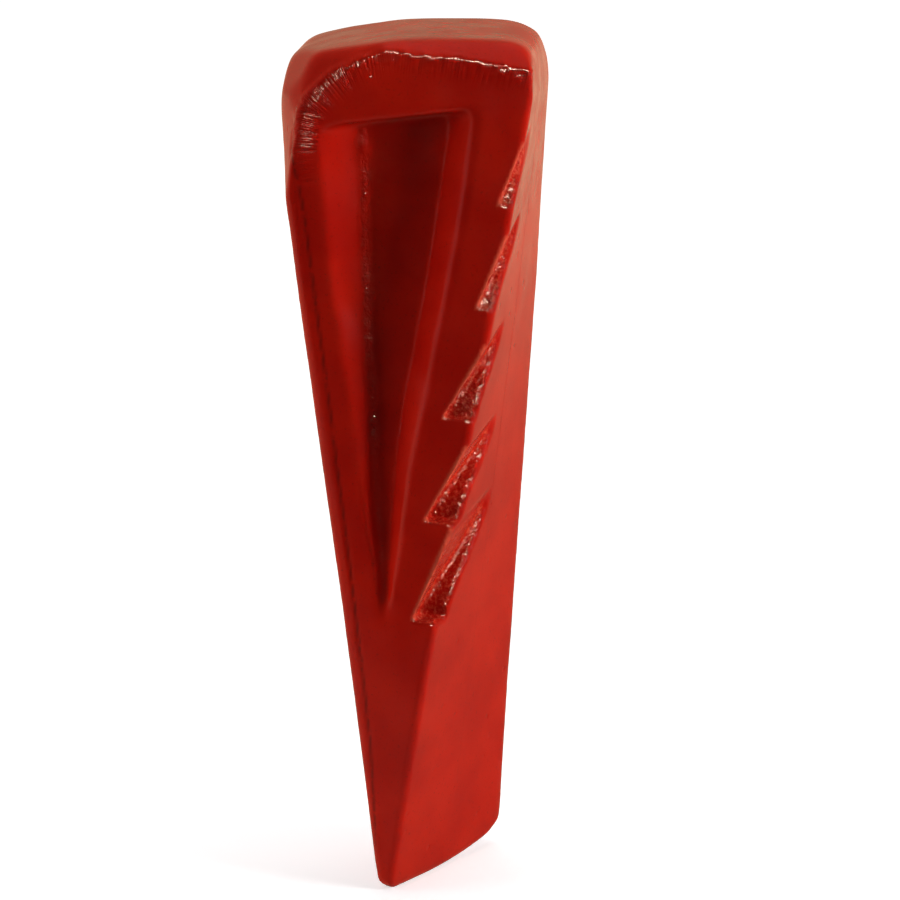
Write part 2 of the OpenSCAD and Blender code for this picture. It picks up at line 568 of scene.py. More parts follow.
@dataclass
class Barbs:
    """The row of notches up a long edge, smaller towards the head.

    A notch's wall leans in by the lean, in millimetres. It leaves the pocketed face at the
    turn, a share of the notch's length, and the last section lies at the last share.
    """

    notches: tuple[Notch, ...] = (
        Notch(73.8, 30.5, 6.1, 6.0, 23.0),
        Notch(99.8, 24.6, 7.4, 4.0, 19.0),
        Notch(126.4, 23.0, 7.2, 2.0, 13.2),
        Notch(154.2, 22.0, 3.9, 1.2, 13.5),
        Notch(179.6, 18.6, 3.3, 1.2, 8.4),
    )
    lean: float = 1.6
    turn: float = 0.8
    clear: float = 2 * MM
    steps: int = 10
    last: float = 0.97

    def ring(self, notch: Notch, t: float, bar: TaperedBar) -> list[Vector]:
        """One notch's section: its wall from over the rim down to the root, and its floor.

        Args:
            notch: The notch.
            t: The share of the notch's length.
            bar: The bar that it is cut in.

        Returns:
            The cutting tool's four corners there, all but the root clear of the bar.
        """
        z = (notch.foot_z + t * notch.length) * MM
        side, face = bar.half_thickness(z), -bar.half_width
        on_face = notch.width * max(0.0, 1 - t / self.turn) * MM
        on_side = notch.reach * max(0.0, (t - self.turn) / (1 - self.turn)) * MM
        rim = Vector((side - on_face, face + on_side, z))
        lean = self.lean * min(1.0, (1 - t) / (1 - self.turn)) * MM
        sink = notch.foot_depth + (notch.reach - notch.foot_depth) * t * t * (3 - 2 * t)
        root = Vector((rim.x - lean, face + sink * MM, z))
        over = rim + (rim - root).normalized() * self.clear
        out = side + self.clear
        return [over, Vector((out, over.y, z)), Vector((out, root.y, z)), root]

    def tools(self, bar: TaperedBar) -> list[bpy.types.Object]:
        """Model the solids that cut the notches.

        Args:
            bar: The bar that they are cut in.

        Returns:
            One tool for each notch on the front right edge.
        """
        shares = [self.last * k / self.steps for k in range(self.steps + 1)]
        return [
            draw_out("barb_tool", [self.ring(notch, t, bar) for t in shares])
            for notch in self.notches
        ]


# ------------------------------------------------------------------ the forged skin


@dataclass
class SkinMap:
    """The skin's points in the straight wedge, and where each of them belongs.

    Lengths are in millimetres. Points on the back are turned to the front, so that one set
    of rules serves both halves. Each share's fades are kept beside it.
    """

    places: np.ndarray
    normals: np.ndarray
    bar: TaperedBar
    pocket: Pocket
    barbs: Barbs
    flash_path: np.ndarray

    # How near the pocketed face a mark stays, by how far the wedge is rubbed there
    on_face: Fade = Fade(1.6, 0.5)
    line_depth: Fade = Fade(3, 1.5)
    rim_depth: Fade = Fade(1.6, 0.8)
    arch_depth: Fade = Fade(3.5, 2)
    lip_depth: Fade = Fade(4, 2)
    off_face: Fade = Fade(1.2, 4)
    # Heights above the pocket's foot at which its lip and its fillet grow sharp
    lip_rise: Fade = Fade(5, 30)
    fillet_rise: Fade = Fade(18, 50)
    # Heights at which the crown's edge and the ground crown set in
    arch_rise: Fade = Fade(190, 200)
    crown_rise: Fade = Fade(180, 200)
    crown_rise_by_flash: Fade = Fade(150, 185)
    by_flash: Fade = Fade(-10, -20)
    # The barbs' cut surfaces: how deep below the bar's skin, and the part of it they lie in
    cut_depth: Fade = Fade(0.18, 0.5)
    barbs_reach_in: float = 9
    barbs_reach_back: float = 23
    barbs_from_z: float = 72
    barbs_to_z: float = 199
    # The lip: its side edges' share of its width, the left one's strength, and its rounded foot
    lip_beside: float = 0.6
    lip_left: float = 0.5
    lip_past: float = 1
    lip_foot: float = 3
    lip_foot_size: float = 5
    fillet_foot: float = 4
    # Where a notch's rim starts, as a share of its length
    rim_start: float = 0.02

    def __post_init__(self) -> None:
        """Work out what every rule needs."""
        turned = np.where(self.places[:, 1] <= 0, 1.0, -1.0)
        self.u = self.places[:, 0] * turned
        self.v = self.places[:, 1] * turned
        self.z = self.places[:, 2]
        self.side = self.bar.half_thickness(self.z * MM) / MM
        self.below_face = self.v + self.bar.half_width / MM
        stages = self.pocket.stages
        heights = [stage.z for stage in stages]
        self.left, self.floor_left, self.floor_right, self.right, self.depth = (
            np.interp(self.z, heights, [getattr(stage, name) for stage in stages])
            for name in ("left", "floor_left", "floor_right", "right", "depth")
        )
        self.above_foot = self.z - heights[0]
        self.lip_z = heights[-1] + self.pocket.top_tilt * self.u
        self.off_path, self.along_path = path_distance(self.u, self.z, self.flash_path)

    def lip(self, width: float) -> np.ndarray:
        """How much each point belongs to the pocket's edge on the face.

        Args:
            width: How far the share fades out.

        Returns:
            One share for each point.
        """
        sides = np.minimum(np.abs(self.u - self.left), np.abs(self.u - self.right))
        beside = ridge(sides, self.lip_beside * width) * self.lip_rise.over(self.above_foot)
        beside = beside * np.where(self.u > self.floor_right, 1.0, self.lip_left)
        beside = beside * (self.z < self.lip_z + self.lip_past)
        inside = (self.u > self.left - self.lip_past) & (self.u < self.right + self.lip_past)
        above = ridge(self.z - self.lip_z, width) * inside
        foot = ridge(np.hypot(self.u, self.above_foot - self.lip_foot), self.lip_foot_size)
        share = np.maximum(np.maximum(beside, above), foot)
        return share * self.lip_depth.over(self.below_face)

    def fillet(self, width: float) -> np.ndarray:
        """How much each point belongs to the fillet between the pocket's wall and floor.

        Args:
            width: How far the share fades out.

        Returns:
            One share for each point.
        """
        away = np.hypot(self.u - self.floor_left, self.below_face - self.depth)
        within = (self.z < self.lip_z) & (self.above_foot > self.fillet_foot)
        return ridge(away, width) * within

    def upper_fillet(self, width: float) -> np.ndarray:
        """The fillet's share in the pocket's deep upper part."""
        return self.fillet(width) * self.fillet_rise.over(self.above_foot)

    def chipped(self) -> np.ndarray:
        """How much each point belongs to the barbs' cut surfaces.

        Returns:
            One share for each point.
        """
        radius = self.bar.barb_edge_radius / MM
        in_side, in_face = self.side - self.u, self.below_face
        round_depth = radius - np.hypot(
            np.clip(radius - in_side, 0, None), np.clip(radius - in_face, 0, None)
        )
        by_edge = (in_side < radius) & (in_face < radius)
        depth = np.where(by_edge, round_depth, np.minimum(in_side, in_face))
        near = (in_side < self.barbs_reach_in) & (in_face < self.barbs_reach_back)
        near = near & (self.z > self.barbs_from_z) & (self.z < self.barbs_to_z)
        return self.cut_depth.over(depth) * near

    def rims(self, width: float) -> np.ndarray:
        """How much each point belongs to the notches' sharp rims on the pocketed face.

        Args:
            width: How far the share fades out.

        Returns:
            One share for each point.
        """
        share = np.zeros(len(self.u))
        for notch in self.barbs.notches:
            ends = []
            for t in (self.rim_start, self.barbs.turn):
                z = notch.foot_z + t * notch.length
                side = self.bar.half_thickness(z * MM) / MM
                ends.append((side - notch.width * (1 - t / self.barbs.turn), z))
            away, _ = path_distance(self.u, self.z, np.array(ends))
            share = np.maximum(share, ridge(away, width))
        return share * self.rim_depth.over(self.below_face)

    def arch(self, width: float) -> np.ndarray:
        """How much each point belongs to the crown's edge on the pocketed face."""
        near = ridge(self.off_path + width / 2, width)
        return near * self.arch_rise.over(self.z) * self.arch_depth.over(self.below_face)

    def crown_share(self) -> np.ndarray:
        """How much each point belongs to the ground crown, which reaches lowest by the flash.

        Returns:
            One share for each point.
        """
        off_face = np.where(self.places[:, 1] < 0, self.off_face.over(self.below_face), 1.0)
        low, high, share = self.crown_rise, self.crown_rise_by_flash, self.by_flash.over(self.u)
        start = low.start + (high.start - low.start) * share
        whole = low.whole + (high.whole - low.whole) * share
        return ramp(self.z, start, whole) * off_face


@dataclass
class ForgedSkin:
    """The skin of the forging: how fine it is, how soft its edges are and how uneven it is.

    The fineness is in metres, and the other lengths are in millimetres. A softness is how many
    times a place is rubbed.
    """

    fineness: float = 0.71 * MM
    settle: int = 2
    lip_softness: int = 50
    lip_width: float = 3.6
    fillet_softness: int = 6
    fillet_width: float = 1.8
    crown_softness: int = 60
    burr_softness: int = 12
    burr_width: float = 2.5
    chip_softness: int = 3

    swell: Lumps = Lumps(17, 0.10)
    grain: Lumps = Lumps(4.5, 0.015, shift=7)
    calm_nose: Fade = Fade(1, 12)
    # The broad sides are fuller half way up than a straight taper, but not at their edges
    belly: float = 0.7
    belly_edge: Fade = Fade(-7, -2)
    # The burr that the flash's trimming left on the crown's edge
    burr: float = 0.45
    burr_base: float = 0.2
    burr_crest: float = 2.0
    burr_lumps: Lumps = Lumps(1.7, shift=11, squeeze=(1, 1, 1.5))
    # The flash line down the side, a broken groove
    line_groove: float = 0.2
    line_width: float = 0.5
    line_whole: float = 0.4
    line_lumps: Lumps = Lumps(3, shift=5, squeeze=(1, 1, 0.25))
    line_break: Fade = Fade(-0.25, 0.15)
    line_top: Fade = Fade(203, 195)
    line_foot: Fade = Fade(10, 24)
    # The rough fillet, and a nub at its upper end
    fillet_height: float = 0.40
    fillet_base: float = 0.3
    fillet_crest: float = 1.3
    fillet_lumps: Lumps = Lumps(2.1, shift=9)
    nub: float = 0.6
    nub_drop: float = 7
    nub_size: float = 1.7
    nub_stretch: float = 2.2
    nub_depth: Fade = Fade(1.5, 3)
    chip_lumps: Lumps = Lumps(1.5, 0.14, shift=3)
    rim_lip: float = 0.25
    rim_width: float = 1.1
    # The cutting edge bows up towards its back end, from this place along it
    edge_bow: float = 0.0042
    bow_start: float = -10
    bow_height: float = 14

    # What is noted for the paint
    # The width of the rims' share, where the paint puts a painted highlight
    noted_rim: float = 0.45
    noted_fillet: float = 1.2
    # Where the paint puts painted shade along the flash line's groove: its width, foot and top
    noted_line: float = 0.38
    noted_line_foot: Fade = Fade(9, 18)
    noted_line_top: Fade = Fade(200, 190)
    scored_inset: float = 2.2
    scored_width: float = 3.0
    scored_rise: Fade = Fade(180, 204)
    scored_least: float = 0.3
    scored_left: Fade = Fade(227, 202)
    noted_plain: Fade = Fade(0.8, 0.95)

    def cover(self, wedge: bpy.types.Object) -> None:
        """Give the cut bar an even, close skin.

        Args:
            wedge: The cut bar.
        """
        apply_modifier(
            wedge, "REMESH", mode="VOXEL", voxel_size=self.fineness, use_smooth_shade=True
        )

    @staticmethod
    def read(wedge: bpy.types.Object, **shapes: object) -> SkinMap:
        """Map the skin's points.

        Args:
            wedge: The covered wedge.
            shapes: The bar, the pocket, the barbs and the flash path.

        Returns:
            The map, as the skin is now.
        """
        count = len(wedge.data.vertices)
        places, normals = np.empty(count * 3), np.empty(count * 3)
        wedge.data.vertices.foreach_get("co", places)
        wedge.data.vertices.foreach_get("normal", normals)
        return SkinMap(places.reshape(-1, 3) / MM, normals.reshape(-1, 3), **shapes)

    @staticmethod
    def soften(wedge: bpy.types.Object, share: np.ndarray | None, times: int) -> None:
        """Rub the skin smooth where a share is given, or all over.

        Args:
            wedge: The wedge.
            share: How much of the rubbing each point gets.
            times: How many times it is rubbed.
        """
        settings: dict[str, object] = {"factor": 0.5, "iterations": times}
        if share is not None:
            group = wedge.vertex_groups.new(name="rubbed")
            for step in range(1, RUB_STEPS + 1):
                picked = np.flatnonzero(np.round(share * RUB_STEPS) == step)
                if len(picked):
                    group.add(picked.tolist(), step / RUB_STEPS, "REPLACE")
            settings["vertex_group"] = group.name
        apply_modifier(wedge, "SMOOTH", **settings)
        wedge.vertex_groups.clear()

    def body_relief(self, skin: SkinMap) -> np.ndarray:
        """The unevenness of the whole forging, and the fullness of its sides.

        Args:
            skin: The skin's map.

        Returns:
            One height in millimetres for each point.
        """
        height = self.swell.over(skin.places) + self.grain.over(skin.places)
        height = height * self.calm_nose.over(skin.z)
        share = skin.z * MM / skin.bar.height
        on_side = self.belly_edge.over(np.abs(skin.u) - skin.side) * skin.normals[:, 0] ** 2
        return height + self.belly * 4 * share * (1 - share) * on_side

    def line_relief(self, skin: SkinMap) -> np.ndarray:
        """The burr along the crown and the broken groove of the flash line down the side.

        Args:
            skin: The skin's map.

        Returns:
            One height in millimetres for each point.
        """
        burr = self.burr_base + self.burr_lumps.over(skin.places)
        burr = self.burr * burr * skin.arch(self.burr_crest)
        unbroken = self.line_break.over(self.line_lumps.over(skin.places))
        groove = self.line_whole + (1 - self.line_whole) * unbroken
        groove = groove * self.line_top.over(skin.z) * self.line_foot.over(skin.z)
        groove = groove * skin.line_depth.over(skin.below_face)
        return burr - self.line_groove * groove * ridge(skin.off_path, self.line_width)

    def relief(self, skin: SkinMap) -> np.ndarray:
        """How far each point of the skin stands out or lies in.

        Args:
            skin: The skin's map.

        Returns:
            One height in millimetres for each point.
        """
        height = self.body_relief(skin) + self.line_relief(skin)
        rough = self.fillet_base + self.fillet_lumps.over(skin.places)
        height += self.fillet_height * rough * skin.upper_fillet(self.fillet_crest)
        from_nub = (skin.z - skin.lip_z + self.nub_drop) / self.nub_stretch
        from_nub = np.hypot(skin.u - skin.floor_left, from_nub)
        height += self.nub * ridge(from_nub, self.nub_size) * self.nub_depth.over(skin.below_face)
        chips = skin.chipped()
        height += chips * self.chip_lumps.over(skin.places)
        return height + self.rim_lip * skin.rims(self.rim_width) * (1 - chips)

    def raise_relief(self, wedge: bpy.types.Object, skin: SkinMap) -> None:
        """Move every point of the skin out or in by its relief, and bow the cutting edge.

        Args:
            wedge: The wedge.
            skin: Its skin's map.
        """
        moved = (skin.places + skin.normals * self.relief(skin)[:, None]) * MM
        back = np.clip(skin.places[:, 1] - self.bow_start, 0, None)
        low = np.clip(1 - skin.z / self.bow_height, 0, 1)
        moved[:, 2] += self.edge_bow * (back * low) ** 2 * MM
        moved[:, 2] = np.clip(moved[:, 2], 0.0, skin.bar.height)
        wedge.data.vertices.foreach_set("co", moved.ravel())
        wedge.data.update()

    def note(self, wedge: bpy.types.Object, skin: SkinMap) -> None:
        """Note on every point what its paint needs to know.

        Args:
            wedge: The wedge.
            skin: Its skin's map.
        """
        scored = self.scored_rise.over(skin.z) * skin.on_face.over(skin.below_face)
        scored = scored * ridge(skin.off_path + self.scored_inset, self.scored_width)
        to_left = self.scored_left.over(skin.along_path)
        # Where the paint puts painted shade along the flash line's groove
        groove_shade_line = ridge(skin.off_path, self.noted_line) * skin.line_depth.over(skin.below_face)
        groove_shade_line = groove_shade_line * self.noted_line_foot.over(skin.z) * self.noted_line_top.over(skin.z)
        notes = {
            "chip": skin.chipped(),
            # The rims' share, where the paint puts a painted highlight
            "rim": skin.rims(self.noted_rim),
            "fillet": skin.upper_fillet(self.noted_fillet),
            "burr": scored * (self.scored_least + (1 - self.scored_least) * to_left),
            # The flash line's share, where the paint puts painted shade
            "path": skin.along_path * MM,
            "flash": groove_shade_line,
            "plain": self.noted_plain.over(np.abs(skin.normals[:, 0])),
            "height": skin.z * MM,
            "across": skin.u * MM,
            "width": skin.v * MM,
        }
        for name, values in notes.items():
            layer = wedge.data.attributes.new(name, "FLOAT", "POINT")
            layer.data.foreach_set("value", values.astype(np.float32))

    def work_over(self, wedge: bpy.types.Object, **shapes: object) -> None:
        """Cover the wedge, rub its edges soft, raise its relief and note it for the paint.

        Args:
            wedge: The cut bar.
            shapes: The bar, the pocket, the barbs and the flash path.
        """
        self.cover(wedge)
        self.soften(wedge, None, self.settle)
        skin = self.read(wedge, **shapes)
        self.soften(wedge, skin.lip(self.lip_width), self.lip_softness)
        self.soften(wedge, skin.fillet(self.fillet_width), self.fillet_softness)
        self.soften(wedge, skin.crown_share(), self.crown_softness)
        self.soften(wedge, skin.arch(self.burr_width), self.burr_softness)
        self.soften(wedge, skin.chipped(), self.chip_softness)
        self.raise_relief(wedge, self.read(wedge, **shapes))
        self.note(wedge, self.read(wedge, **shapes))


@dataclass
class TwistedWedge:
    """The whole wedge, from its straight bar to the twisted and unpainted piece.

    The flash's line runs beside the flash edge, at its inset or at a share of the bar's half
    thickness where that is less, and then over the crown along the arch, in millimetres.
    """

    bar: TaperedBar
    crown: Crown
    pocket: Pocket
    barbs: Barbs
    skin: ForgedSkin
    twist: float = 34.0
    flash_inset: float = 4.8
    low_inset: float = 0.6
    line_heights: tuple[int, ...] = (8, 20, 40, 60, 80, 100, 120, 140, 160, 180)
    arch: tuple[tuple[float, float], ...] = (
        (-26.9, 193), (-26.3, 198.5), (-24.6, 204.8), (-20.9, 209), (-15.5, 213.4),
        (-8.9, 216.4), (-2.5, 217.5), (3.8, 217), (10.8, 216.2), (17.8, 215.3), (24.1, 213.8),
        (31.6, 212.4),
    )

    def flash_path(self) -> np.ndarray:
        """The line that the flash left on a face: up beside the flash edge and over the crown.

        Returns:
            Its (u, z) corners in millimetres, from the cutting edge up.
        """
        low = []
        for z in self.line_heights:
            side = self.bar.half_thickness(z * MM) / MM
            low.append((min(self.flash_inset, self.low_inset * side) - side, z))
        return np.array(low + list(self.arch), float)

    def cut_both_halves(self, wedge: bpy.types.Object) -> None:
        """Cut the pocket and the barbs on the front, and the same half a turn away.

        Args:
            wedge: The rounded bar.
        """
        tools = [self.pocket.tool(self.bar), *self.barbs.tools(self.bar)]
        take(*tools)
        bpy.ops.object.join()
        front = bpy.context.object
        bpy.ops.object.duplicate()
        back = bpy.context.object
        bpy.ops.object.transform_apply(location=True, rotation=True, scale=True)
        back.rotation_euler.z = math.pi
        bpy.ops.object.transform_apply(location=False, rotation=True, scale=False)
        cut(wedge, front)
        cut(wedge, back)

    def turn(self, wedge: bpy.types.Object) -> None:
        """Twist the straight wedge, with its head left as it stands.

        Args:
            wedge: The finished straight wedge.
        """
        angle = math.radians(self.twist)
        apply_modifier(
            wedge, "SIMPLE_DEFORM", deform_method="TWIST", deform_axis="Z", angle=angle
        )
        take(wedge)
        wedge.rotation_euler.z = -angle
        bpy.ops.object.transform_apply(location=True, rotation=True, scale=True)

    def build(self) -> bpy.types.Object:
        """Model the wedge.

        Returns:
            The finished piece, in its place and unpainted.
        """
        wedge = self.bar.build()
        self.crown.dress(wedge)
        self.cut_both_halves(wedge)
        self.skin.work_over(
            wedge,
            bar=self.bar,
            pocket=self.pocket,
            barbs=self.barbs,
            flash_path=self.flash_path(),
        )
        self.turn(wedge)
        wedge.name = "forged_wedge"
        take(wedge)
        bpy.ops.object.shade_smooth()
        return wedge


# ------------------------------------------------------------------ finishes


@dataclass(frozen=True)
class Cloud:
    """An uneven pattern: its scale, its layers, how rough it is, and what is made of it.

    Its values from low to high are carried over softly to the shares from faint to full.
    """

    scale: float
    layers: float = 2.0
    roughness: float = 0.5
    low: float = 0.0
    high: float = 1.0
    faint: float = 0.0
    full: float = 1.0


class Graph:
    """The nodes of a material or a world, added and joined one at a time."""

    def __init__(self, owner: bpy.types.Material | bpy.types.World) -> None:
        """Start with no nodes.

        Args:
            owner: The material or world.
        """
        owner.use_nodes = True
        self.tree = owner.node_tree
        self.tree.nodes.clear()

    def add(
        self, kind: str, inputs: dict[object, object] | None = None, **settings: object
    ) -> bpy.types.Node:
        """Add a node.

        Args:
            kind: Its type, without the common first part of the name.
            inputs: A number, a colour or another node's socket for each of its sockets.
            settings: The node's own settings.

        Returns:
            The node.
        """
        node = self.tree.nodes.new("ShaderNode" + kind)
        for name, value in settings.items():
            setattr(node, name, value)
        for name, value in (inputs or {}).items():
            socket = node.inputs[name]
            if isinstance(value, bpy.types.NodeSocket):
                self.tree.links.new(value, socket)
            else:
                socket.default_value = value
        return node

    def math(self, how: str, a: object, b: object = 0.0) -> bpy.types.NodeSocket:
        """Work out one number from two."""
        return self.add("Math", {0: a, 1: b}, operation=how).outputs[0]

    def band(
        self, value: object, low: float, high: float, faint: float = 0.0, full: float = 1.0
    ) -> bpy.types.NodeSocket:
        """Carry a value's range over to another, softly, and hold it at both ends.

        Args:
            value: The value, or its socket.
            low: The value that becomes faint.
            high: The value that becomes full.
            faint: What low becomes.
            full: What high becomes.

        Returns:
            The new value's socket.
        """
        sockets = {
            "Value": value, "From Min": low, "From Max": high, "To Min": faint, "To Max": full
        }
        return self.add("MapRange", sockets, interpolation_type="SMOOTHSTEP").outputs["Result"]

    def noise(self, vector: object, cloud: Cloud) -> bpy.types.NodeSocket:
        """A cloud's own uneven values from 0 to 1.

        Args:
            vector: The coordinates' socket.
            cloud: The cloud.

        Returns:
            The values' socket.
        """
        sockets = {
            "Vector": vector,
            "Scale": cloud.scale,
            "Detail": cloud.layers,
            "Roughness": cloud.roughness,
        }
        return self.add("TexNoise", sockets).outputs["Fac"]

    def cloud(self, vector: object, cloud: Cloud) -> bpy.types.NodeSocket:
        """A cloud's share, from faint to full."""
        noise = self.noise(vector, cloud)
        return self.band(noise, cloud.low, cloud.high, cloud.faint, cloud.full)

    def mix(self, share: object, a: object, b: object) -> bpy.types.NodeSocket:
        """Mix two colours.

        Args:
            share: How much of the second colour there is.
            a: The first colour, or its socket.
            b: The second colour, or its socket.

        Returns:
            The mixed colour's socket.
        """
        node = self.add("Mix", data_type="RGBA")
        colours = [s for s in node.inputs if s.type == "RGBA"]
        for socket, value in zip((node.inputs["Factor"], *colours), (share, a, b)):
            if isinstance(value, bpy.types.NodeSocket):
                self.tree.links.new(value, socket)
            else:
                socket.default_value = value
        return next(s for s in node.outputs if s.type == "RGBA")

    def bump(self, height: object, depth: float, under: object = None) -> bpy.types.NodeSocket:
        """Raise a pattern of height 0 to 1, over another bump.

        Args:
            height: The pattern's socket.
            depth: How high 1 is, in metres.
            under: The normal's socket of the bump under it.

        Returns:
            The normal's socket.
        """
        sockets: dict[object, object] = {"Height": height, "Distance": depth, "Strength": 1.0}
        if under is not None:
            sockets["Normal"] = under
        return self.add("Bump", sockets).outputs["Normal"]

    def note(self, name: str) -> bpy.types.NodeSocket:
        """A number that is noted on the piece's points."""
        return self.add("Attribute", attribute_name=name).outputs["Fac"]


@dataclass(frozen=True)
class RedPaint:
    """Glossy red paint, sprayed thinly over an uneven forged skin. Depths are in metres."""

    name: str = "red_paint"
    colour: Colour = (0.56, 0.010, 0.003, 1)
    deep: Colour = (0.46, 0.006, 0.002, 1)
    # A near black, for random dark specks and for painted shade along the flash line's groove
    dark_specks_and_groove_shade: Colour = (0.06, 0.006, 0.004, 1)
    # A light orange red, for painted glints in the chips and painted highlights on the rims
    painted_highlight: Colour = (0.85, 0.14, 0.07, 1)
    specular: float = 0.16
    # The colour: drifts, dark specks, painted shade on the flash line, painted glints in the
    # chips, painted rim highlights
    drift: Cloud = Cloud(55, 3, low=0.3, high=0.7)
    specks: Cloud = Cloud(1500, 2, 0.7, low=0.60, high=0.72, full=0.35)
    # How the painted shade along the flash line's groove breaks up
    groove_shade_line: Cloud = Cloud(420, low=0.30, high=0.50, full=0.65)
    # Light specks in the chips: painted glints, standing in for the sparkle of their rough floors
    chip_glints: Cloud = Cloud(1100, 2, 0.6, low=0.45, high=0.65, faint=0.06, full=0.46)
    # How strong the painted highlight along the notches' rims is
    rim_highlight: float = 0.6
    # The relief: peel, dust, runs down the plain sides, pits, scores on the burr, and grains
    peel: Cloud = Cloud(620, 3)
    peel_depth: float = 0.01 * MM
    dust: Cloud = Cloud(2300, 2, 0.6)
    dust_depth: float = 0.008 * MM
    runs: Cloud = Cloud(900, 3)
    runs_stretch: Row = (1, 1, 0.06)
    runs_depth: float = 0.05 * MM
    pit_scale: float = 170
    pit_edge: Fade = Fade(0.16, 0.05)
    pit_depth: float = 0.16 * MM
    scores: Cloud = Cloud(1100, 3, 0.6)
    score_depth: float = 1.2 * MM
    grains: Cloud = Cloud(950)
    grain_depth: float = 0.42 * MM
    grains_on_burr: float = 0.4
    # The gloss, and how much glossier the chips are
    dullness: Cloud = Cloud(130, 3, low=0.25, high=0.75, faint=0.14, full=0.26)
    chip_gloss: float = 0.06

    def pattern(self, graph: Graph) -> dict[str, bpy.types.NodeSocket]:
        """The coordinates and noted shares that the paint is drawn from.

        Args:
            graph: The material's nodes.

        Returns:
            A socket for each name.
        """
        names = ("chip", "rim", "fillet", "burr", "path", "flash", "plain")
        notes = {name: graph.note(name) for name in names}
        notes["place"] = graph.add("TexCoord").outputs["Object"]
        axes = {"X": graph.note("across"), "Y": graph.note("width"), "Z": graph.note("height")}
        notes["straight"] = graph.add("CombineXYZ", axes).outputs[0]
        return notes

    def tint(self, graph: Graph, on: dict[str, bpy.types.NodeSocket]) -> bpy.types.NodeSocket:
        """The paint's colour: uneven, with painted glints and rim highlights, and painted shade on
        the flash line.

        Args:
            graph: The material's nodes.
            on: The paint's pattern.

        Returns:
            The colour's socket.
        """
        colour = graph.mix(graph.cloud(on["place"], self.drift), self.colour, self.deep)
        colour = graph.mix(graph.cloud(on["place"], self.specks), colour, self.dark_specks_and_groove_shade)
        # Painted shade: the flash line's groove darkened in the colour
        groove_shade_line = graph.math("MULTIPLY", graph.cloud(on["straight"], self.groove_shade_line), on["flash"])
        colour = graph.mix(groove_shade_line, colour, self.dark_specks_and_groove_shade)
        # Painted glints: light specks in the chips, standing in for the sparkle of their rough
        # floors
        chip_glints = graph.math("MULTIPLY", graph.cloud(on["place"], self.chip_glints), on["chip"])
        colour = graph.mix(chip_glints, colour, self.painted_highlight)
        # Painted highlight along the notches' rims, where their sharp edges catch the light
        return graph.mix(graph.math("MULTIPLY", on["rim"], self.rim_highlight), colour, self.painted_highlight)

    def relief(self, graph: Graph, on: dict[str, bpy.types.NodeSocket]) -> bpy.types.NodeSocket:
        """The fine relief of the paint and of the forging under it.

        Args:
            graph: The material's nodes.
            on: The paint's pattern.

        Returns:
            The normal's socket.
        """
        normal = graph.bump(graph.noise(on["place"], self.peel), self.peel_depth)
        normal = graph.bump(graph.noise(on["place"], self.dust), self.dust_depth, normal)
        drawn = {"Vector": on["straight"], "Scale": self.runs_stretch}
        runs = graph.noise(graph.add("Mapping", drawn).outputs[0], self.runs)
        runs = graph.math("MULTIPLY", runs, on["plain"])
        normal = graph.bump(runs, self.runs_depth, normal)
        cells = {"Vector": on["straight"], "Scale": self.pit_scale}
        pit = graph.add("TexVoronoi", cells).outputs["Distance"]
        pit = graph.band(pit, self.pit_edge.start, self.pit_edge.whole)
        pit = graph.math("MULTIPLY", pit, on["plain"])
        normal = graph.bump(graph.math("SUBTRACT", 1.0, pit), self.pit_depth, normal)
        scores = graph.noise(graph.add("CombineXYZ", {"X": on["path"]}).outputs[0], self.scores)
        scores = graph.math("MULTIPLY", scores, on["burr"])
        normal = graph.bump(scores, self.score_depth, normal)
        rough = graph.math("MULTIPLY", on["burr"], self.grains_on_burr)
        rough = graph.math("MAXIMUM", on["chip"], rough)
        rough = graph.math("MAXIMUM", rough, on["fillet"])
        grains = graph.math("MULTIPLY", graph.noise(on["place"], self.grains), rough)
        return graph.bump(grains, self.grain_depth, normal)

    def make(self) -> bpy.types.Material:
        """Make the paint.

        Returns:
            The material.
        """
        material = bpy.data.materials.new(self.name)
        graph = Graph(material)
        on = self.pattern(graph)
        glossier = graph.math("MULTIPLY", on["chip"], self.chip_gloss)
        dull = graph.math("SUBTRACT", graph.cloud(on["place"], self.dullness), glossier)
        sockets = {
            "Base Color": self.tint(graph, on),
            "Roughness": dull,
            "Specular IOR Level": self.specular,
            "Normal": self.relief(graph, on),
        }
        paint = graph.add("BsdfPrincipled", sockets)
        graph.add("OutputMaterial", {"Surface": paint.outputs[0]})
        return material


def looked_at(graph: Graph, path: bpy.types.NodeOutputs) -> bpy.types.NodeSocket:
    """1 where the camera, a reflection or a clear material looks, and 0 for other light.

    Args:
        graph: The nodes to add to.
        path: The outputs of their Light Path node.

    Returns:
        The value's socket.
    """
    seen = graph.math("MAXIMUM", path["Is Camera Ray"], path["Is Glossy Ray"])
    return graph.math("MAXIMUM", seen, path["Is Transmission Ray"])


